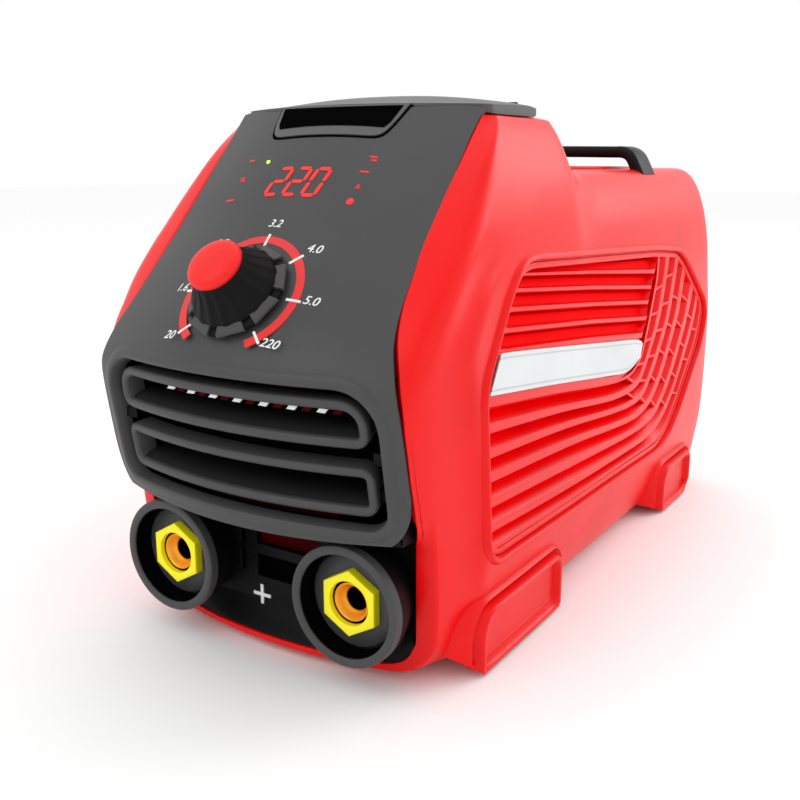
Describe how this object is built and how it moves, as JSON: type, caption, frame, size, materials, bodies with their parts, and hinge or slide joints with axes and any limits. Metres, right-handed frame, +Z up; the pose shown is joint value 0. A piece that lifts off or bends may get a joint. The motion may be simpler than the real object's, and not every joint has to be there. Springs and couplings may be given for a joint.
{
  "type": "stick welding inverter",
  "caption": "Portable welding power source: two-part moulded case with side louvres, sloped control face with knob, round cable sockets, hinged tray lid and carry strap.",
  "frame": {"origin": "on the floor under the middle of the overall box, on the plane where the two case halves meet", "axes": "+Z up; -Y is the control side; +X is on the right of someone who looks at the control side"},
  "size_m": [0.172, 0.366, 0.2266],
  "materials": {
    "red_plastic": "glossy moulded red",
    "grey_plastic": "satin dark grey, fine grain",
    "lid_plastic": "satin dark grey",
    "black_plastic": "satin black",
    "yellow_plastic": "bright yellow insulator",
    "brass": "turned brass",
    "copper": null,
    "silver_plate": "silver-white label plate",
    "steel": "plated steel",
    "aluminium": "extruded",
    "circuit_board": "green solder mask",
    "display_red": "dark red window",
    "led_green": "lit yellow-green",
    "rubber": "black",
    "ferrite": null,
    "capacitor_sleeve": "dark blue sleeve"
  },
  "bodies": {
    "housing": {"right_shell": "red_plastic", "badge_right": "silver_plate", "hinge_bracket_right": "grey_plastic", "handle_screw_right": "steel", "heatsink_right": "aluminium", "rubber_foot_front_right": "rubber", "rubber_foot_rear_right": "rubber", "left_shell": "red_plastic", "badge_left": "silver_plate", "hinge_bracket_left": "grey_plastic", "handle_screw_left": "steel", "heatsink_left": "aluminium", "rubber_foot_front_left": "rubber", "rubber_foot_rear_left": "rubber", "front_fascia": "grey_plastic", "grille_carrier": "black_plastic", "lower_louvre": "grey_plastic", "upper_louvre": "grey_plastic", "socket_panel": "black_plastic", "lid_hinge_pin": "steel", "storage_tray": "black_plastic", "potentiometer": "steel", "control_board": "circuit_board", "display_window": "display_red", "display_module": "black_plastic", "indicator_led": "led_green", "socket_cup_positive": "grey_plastic", "socket_insert_positive": "yellow_plastic", "socket_contact_positive": "brass", "socket_nut_positive": "black_plastic", "busbar_positive": "copper", "socket_cup_negative": "grey_plastic", "socket_insert_negative": "yellow_plastic", "socket_contact_negative": "brass", "socket_nut_negative": "black_plastic", "busbar_negative": "copper", "rear_panel": "black_plastic", "fan_guard": "black_plastic", "fan_frame": "black_plastic", "switch_body": "black_plastic", "gland_body": "black_plastic", "gland_nut": "black_plastic", "rear_screw_1": "steel", "rear_screw_2": "steel", "rear_screw_3": "steel", "rear_screw_4": "steel", "carry_handle": "black_plastic", "power_board": "circuit_board", "transformer_core": "ferrite", "transformer_winding": "copper", "output_choke": "copper", "bulk_capacitor_1": "capacitor_sleeve", "bulk_capacitor_2": "capacitor_sleeve"},
    "lid": {"storage_lid": "lid_plastic"},
    "knob": {"knob_skirt": "grey_plastic", "control_knob": "black_plastic", "knob_cap": "red_plastic", "pot_shaft": "steel"},
    "fan": {"fan_rotor": "black_plastic"},
    "rocker": {"switch_rocker": "red_plastic"}
  },
  "joints": [
    {"name": "lid_open", "type": "hinge", "parent": "housing", "child": "lid", "pos_m": [0, -0.0332, 0.2214], "axis": [-1, 0, 0], "range_deg": [0, 100]},
    {"name": "knob_turn", "type": "hinge", "parent": "housing", "child": "knob", "pos_m": [0, -0.161, 0.1515], "axis": [0, -0.7314, 0.682], "range_deg": [0, 270]},
    {"name": "fan_spin", "type": "hinge", "parent": "housing", "child": "fan", "pos_m": [0, 0.1527, 0.092], "axis": [0, 1, 0], "continuous": true},
    {"name": "switch_rock", "type": "hinge", "parent": "housing", "child": "rocker", "pos_m": [-0.04, 0.171, 0.163], "axis": [1, 0, 0], "range_deg": [-14, 0]}
  ]
}
